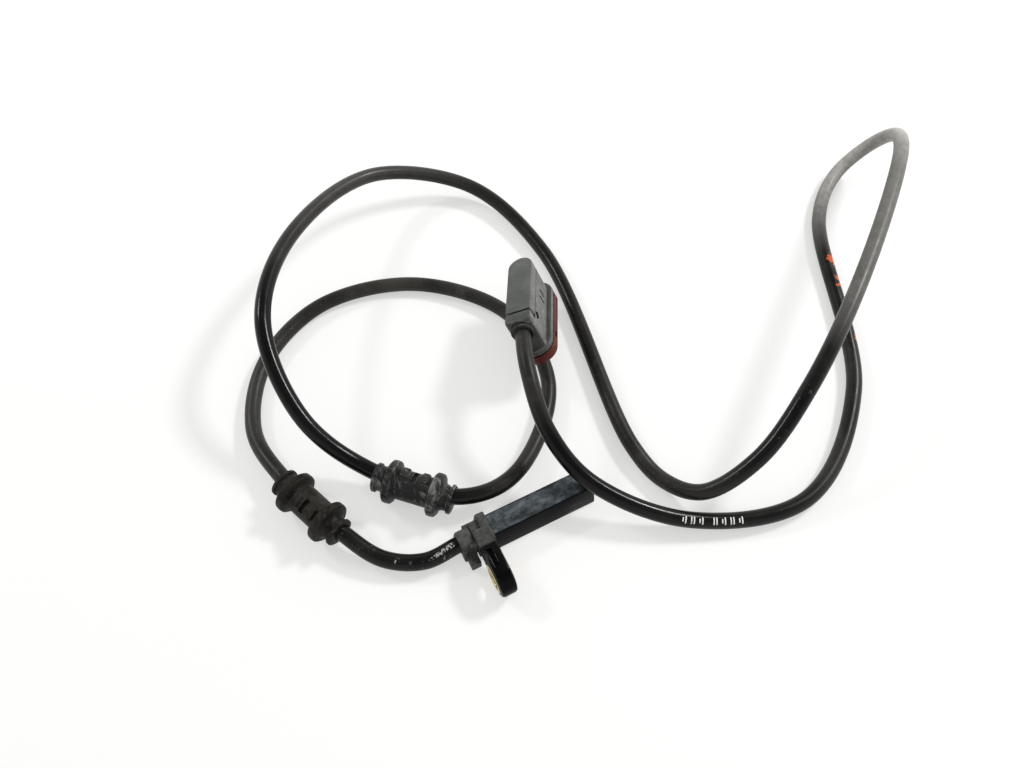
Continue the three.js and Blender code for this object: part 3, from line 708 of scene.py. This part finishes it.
chip_black = moulded(
    "chip_black", dark=(0.0110, 0.0110, 0.0115), light=(0.0200, 0.0200, 0.0205),
    worn=(0.150, 0.150, 0.150), dust=(0.150, 0.140, 0.120), dustiness=0.12, gloss=0.45,
    grain=4200.0, grain_depth=0.000005, wear=0.4, edge=0.00012,
)
zinc_yellow = metal(
    "zinc_yellow", bright=(0.7200, 0.6300, 0.3700), dull=(0.5200, 0.4400, 0.2400),
    stain=(0.200, 0.150, 0.090), gloss=0.30,
)
nickel = metal(
    "nickel", bright=(0.6200, 0.6000, 0.5600), dull=(0.4300, 0.4100, 0.3800),
    stain=(0.200, 0.180, 0.160), gloss=0.28,
)
tin = metal(
    "tin", bright=(0.7400, 0.7300, 0.7000), dull=(0.5500, 0.5400, 0.5200),
    stain=(0.250, 0.230, 0.200), gloss=0.26,
)
brass = metal(
    "brass", bright=(0.7200, 0.5200, 0.2400), dull=(0.4800, 0.3300, 0.1400),
    stain=(0.180, 0.110, 0.050), gloss=0.30,
)
copper = metal(
    "copper", bright=(0.7600, 0.3600, 0.2200), dull=(0.5200, 0.2200, 0.1300),
    stain=(0.180, 0.090, 0.060), gloss=0.34,
)

LOOKS = {
    "sensor_housing": housing_black, "rear_overmould": neck_grey, "mounting_bush": zinc_yellow,
    "element_carrier": carrier_green, "bias_magnet": nickel, "sensor_chip": chip_black,
    "chip_lead_a": tin, "chip_lead_b": tin, "crimp_sleeve_a": brass, "crimp_sleeve_b": brass,
    "head_core_a": copper, "head_core_b": copper, "plug_core_a": copper, "plug_core_b": copper,
    "cable_jacket": cable.data.materials[0], "inner_grommet": rubber_brown,
    "outer_grommet": rubber_grey, "connector_housing": plug_grey, "connector_cover": cover_grey,
    "coding_collar": collar_red, "cable_seal": rubber_black, "terminal_lock": lock_white,
    "interface_seal": seal_brown, "terminal_a": tin, "terminal_b": tin,
}
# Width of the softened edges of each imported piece, in metres.
SOFT_EDGES = {
    "sensor_housing": 0.00022, "rear_overmould": 0.00025, "mounting_bush": 0.00015,
    "inner_grommet": 0.00022, "outer_grommet": 0.00022, "connector_housing": 0.00020,
    "connector_cover": 0.00020, "coding_collar": 0.00018, "terminal_lock": 0.00012,
}
OTHER_SOFT_EDGE = 0.00008
SHARP_ANGLE = math.radians(40)
WELD_REACH = 0.000002


def dress(name, node):
    """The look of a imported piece, with its sharp edges softened and its smooth faces shaded smooth."""
    node.data.materials.clear()
    node.data.materials.append(LOOKS[name])
    node.data.polygons.foreach_set("use_smooth", [True] * len(node.data.polygons))
    if "custom_normal" in node.data.attributes:
        node.data.attributes.remove(node.data.attributes["custom_normal"])
    weld = node.modifiers.new("weld", "WELD")
    weld.merge_threshold = WELD_REACH
    soften = node.modifiers.new("soften", "BEVEL")
    soften.width = SOFT_EDGES.get(name, OTHER_SOFT_EDGE)
    soften.segments = 2
    soften.limit_method = "ANGLE"
    soften.angle_limit = SHARP_ANGLE
    soften.harden_normals = True


for node_name, packed_node in nodes.items():
    dress(node_name, packed_node)

# Plain white bars printed along the last strand

# Where each group of marks starts along the cable, and how many marks it has.
MARK_GROUPS = ((1.0768, 4), (1.0892, 3))
MARK_PITCH = 0.0025
MARK_GAP = 0.0010
LONG_BAR = 0.0023
SHORT_BAR = 0.0013
BAR_WIDTH = 0.00040
BAR_ROWS = 9
BAR_LIFT = 0.00002
BAR_TURN = -0.05


def bar_rows(place, length):
    """The left and right points of each row of a bar that lies across the cable and faces the camera."""
    ring = int(np.argmin(abs(cable_along - place)))
    centre, ahead = cable_points[ring], cable_ahead[ring]
    outward = np.array(CAMERA_PLACE) - centre
    outward -= ahead * np.dot(outward, ahead)
    outward /= np.linalg.norm(outward)
    across = np.cross(ahead, outward)
    points = []
    for part in np.linspace(-0.5, 0.5, BAR_ROWS):
        angle = BAR_TURN + part * length / CABLE_RADIUS
        middle = centre + (outward * math.cos(angle) + across * math.sin(angle)) * (CABLE_RADIUS + BAR_LIFT)
        points += [middle - ahead * BAR_WIDTH / 2, middle + ahead * BAR_WIDTH / 2]
    return points


def make_marks():
    """Thin patches that lie on the cable: pairs of bars in two groups, long and short by turns."""
    starts = [first + MARK_PITCH * number for first, count in MARK_GROUPS for number in range(count)]
    vertices, faces = [], []
    for index, start in enumerate(starts):
        for place, length in ((start, LONG_BAR), (start + MARK_GAP, LONG_BAR if index % 2 else SHORT_BAR)):
            first = len(vertices)
            vertices += bar_rows(place, length)
            for low in range(first, len(vertices) - 2, 2):
                faces.append((low, low + 1, low + 3, low + 2))
    return new_object("cable_marks", vertices, faces)


def mark_material():
    skin = Surface("mark_white", roughness=0.5, specular=0.3)
    worn = skin.ramp(skin.noise(1500.0, 4.0, 0.7), 0.60, 0.68)
    skin.color(skin.blend(worn, (0.780, 0.770, 0.740), (0.080, 0.078, 0.075)))
    skin.roughness(skin.ramp(skin.noise(900.0), 0.3, 0.7, 0.4, 0.6))
    skin.bump([(skin.noise(2500.0), 0.000004)])
    return skin.material


marks = make_marks()
marks.data.materials.append(mark_material())
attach(marks, "root")

scene.view_settings.view_transform = "Standard"
